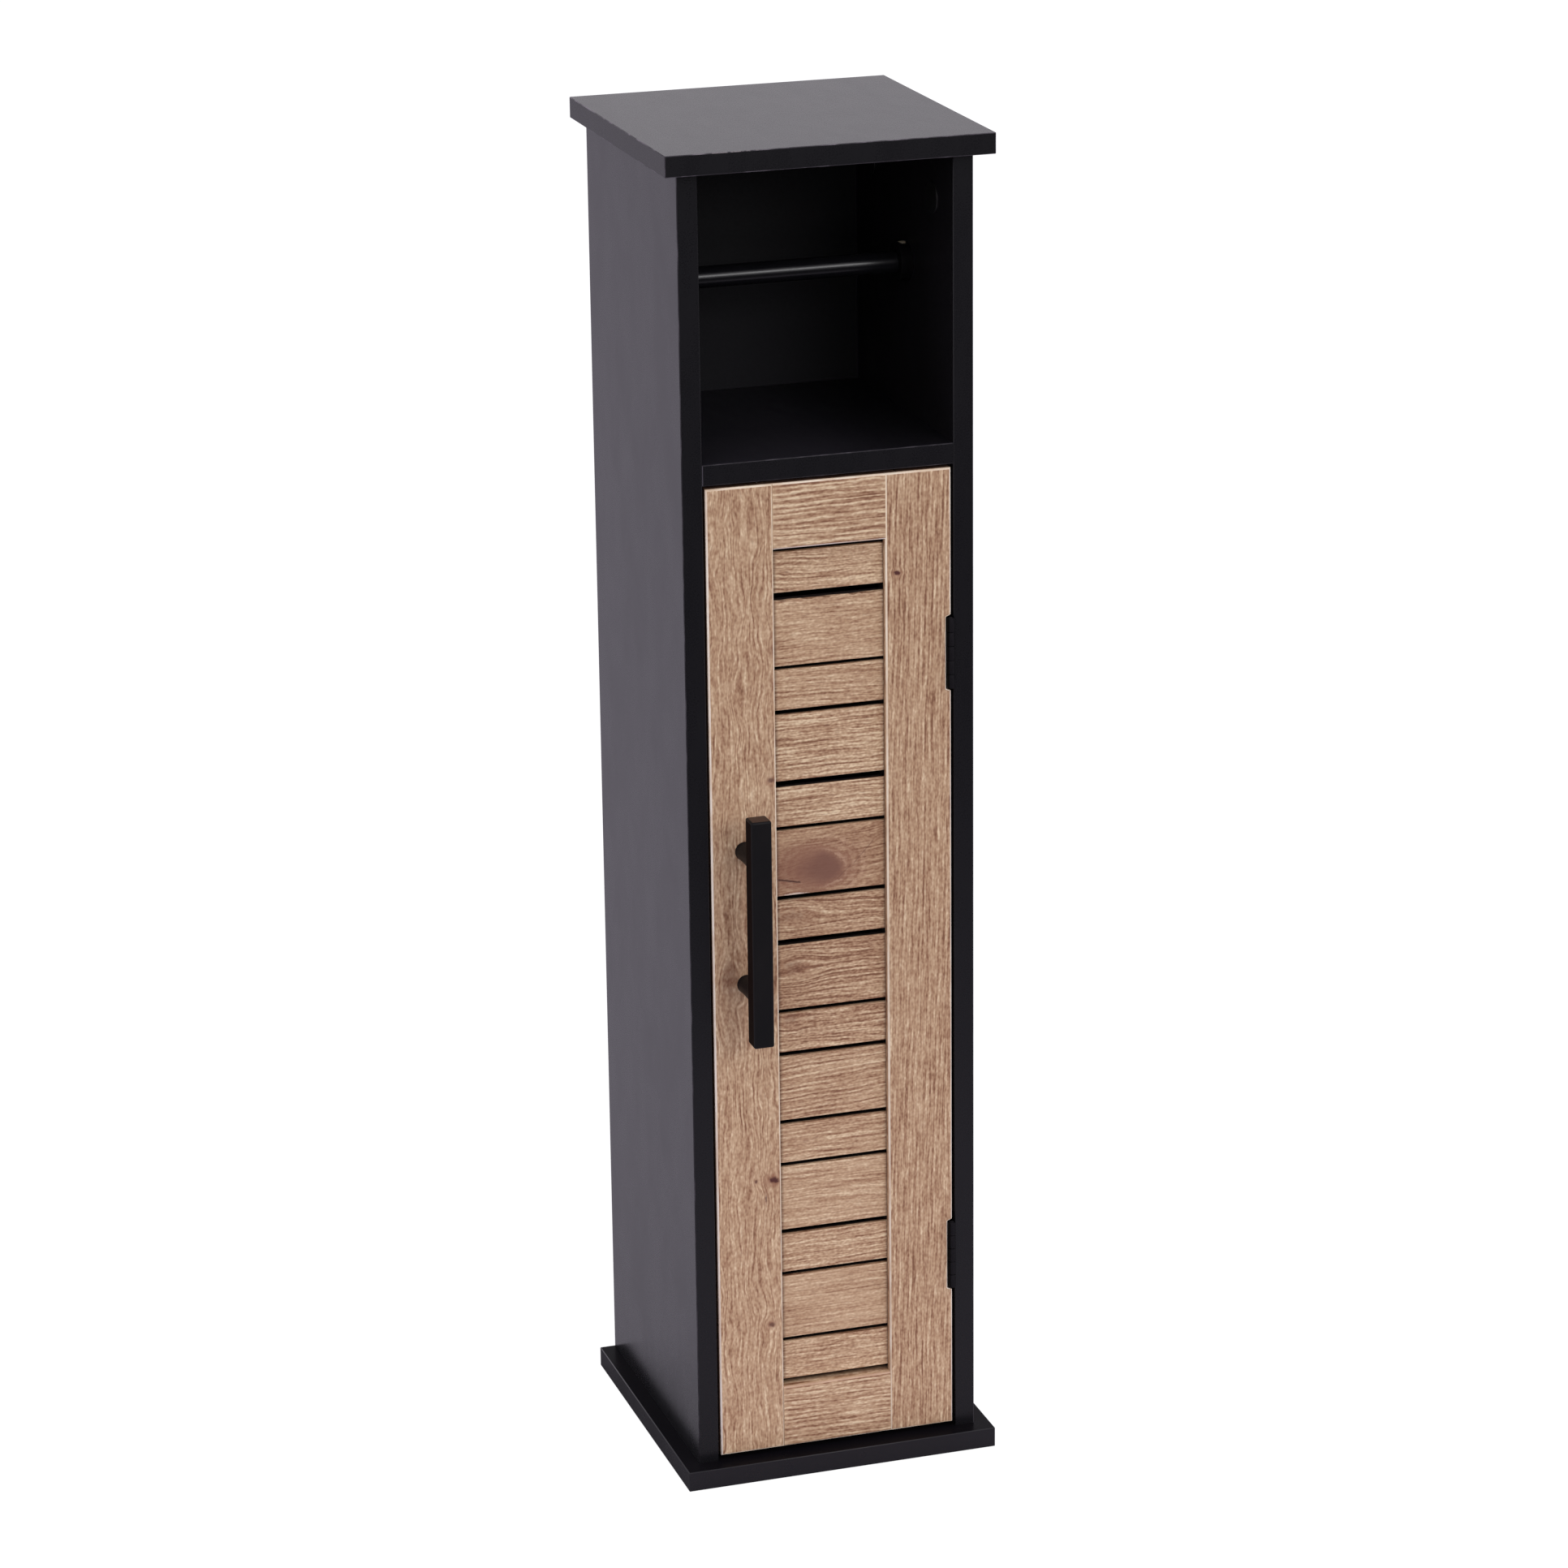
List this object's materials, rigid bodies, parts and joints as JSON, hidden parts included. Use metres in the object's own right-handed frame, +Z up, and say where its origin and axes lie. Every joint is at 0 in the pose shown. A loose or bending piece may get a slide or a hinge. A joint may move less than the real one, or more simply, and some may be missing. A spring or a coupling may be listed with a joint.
{
  "type": "toilet roll storage cabinet",
  "caption": "Slim free-standing bathroom cabinet with an open niche and a sprung roll rod above a hinged slatted door with a bar handle.",
  "frame": {"origin": "centre of the base panel's underside, where the cabinet stands on the floor", "axes": "+Z up; the niche and the door face -Y; +X is the side with the door's hinges, on the right seen from the front"},
  "size_m": [0.19, 0.213, 0.79],
  "materials": {
    "black_board": "satin black melamine on particle board",
    "black_hardboard": "matt black painted hardboard",
    "oak_foil": "oak-look foil wrapped round board, satin, with eased edges",
    "oak_slat": "oak-look foil on thin board, grain across the door",
    "black_metal": "satin black powder coat",
    "hinge_black": "black lacquered steel",
    "zinc_fittings": "bright zinc plate",
    "black_plastic": "black moulded plastic",
    "ferrite": "sintered ferrite",
    "beech": "plain turned beech"
  },
  "bodies": {
    "cabinet": {"top_panel": "black_board", "base_panel": "black_board", "left_side_panel": "black_board", "right_side_panel": "black_board", "middle_shelf": "black_board", "back_panel": "black_hardboard", "cam_locks": "zinc_fittings", "cam_bolts": "zinc_fittings", "cam_cover_caps": "black_plastic", "wood_dowels": "beech", "base_screws": "zinc_fittings", "left_rod_cup": "black_metal", "right_rod_cup": "black_metal", "rod_cup_screws": "zinc_fittings", "magnet_catch_case": "black_plastic", "catch_magnet": "ferrite", "catch_pole_plates": "zinc_fittings", "catch_screws": "zinc_fittings", "upper_hinge_frame_leaf": "hinge_black", "lower_hinge_frame_leaf": "hinge_black", "upper_hinge_pin": "hinge_black", "lower_hinge_pin": "hinge_black", "hinge_frame_screws": "hinge_black"},
    "door": {"door_left_stile": "oak_foil", "door_right_stile": "oak_foil", "door_top_rail": "oak_foil", "door_bottom_rail": "oak_foil", "upper_hinge_door_leaf": "hinge_black", "lower_hinge_door_leaf": "hinge_black", "hinge_door_screws": "hinge_black", "handle_bar": "black_metal", "handle_upper_post": "black_metal", "handle_lower_post": "black_metal", "handle_screws": "zinc_fittings", "strike_plate": "zinc_fittings", "strike_screws": "zinc_fittings", "slat_01": "oak_slat", "slat_02": "oak_slat", "slat_03": "oak_slat", "slat_04": "oak_slat", "slat_05": "oak_slat", "slat_06": "oak_slat", "slat_07": "oak_slat", "slat_08": "oak_slat", "slat_09": "oak_slat", "slat_10": "oak_slat", "slat_11": "oak_slat", "slat_12": "oak_slat", "slat_13": "oak_slat", "slat_14": "oak_slat", "slat_15": "oak_slat"},
    "rod": {"rod_tube": "black_metal", "rod_end_plug": "black_metal", "rod_guide_bush": "black_plastic", "rod_spring_seat": "black_plastic", "rod_spring": "zinc_fittings"},
    "plunger": {"rod_plunger": "black_plastic"}
  },
  "joints": [
    {"name": "door_hinge", "type": "hinge", "parent": "cabinet", "child": "door", "pos_m": [0.07135, -0.0852, 0.3075], "axis": [0, 0, 1], "range_deg": [0, 180]},
    {"name": "rod_spin", "type": "hinge", "parent": "cabinet", "child": "rod", "pos_m": [0, -0.006, 0.702], "axis": [1, 0, 0], "continuous": true},
    {"name": "plunger_slide", "type": "slide", "parent": "rod", "child": "plunger", "axis": [1, 0, 0], "range_m": [0, 0.005], "stiffness_N_per_m": 400, "springref_m": -0.012, "deforming": ["rod_spring"]}
  ]
}
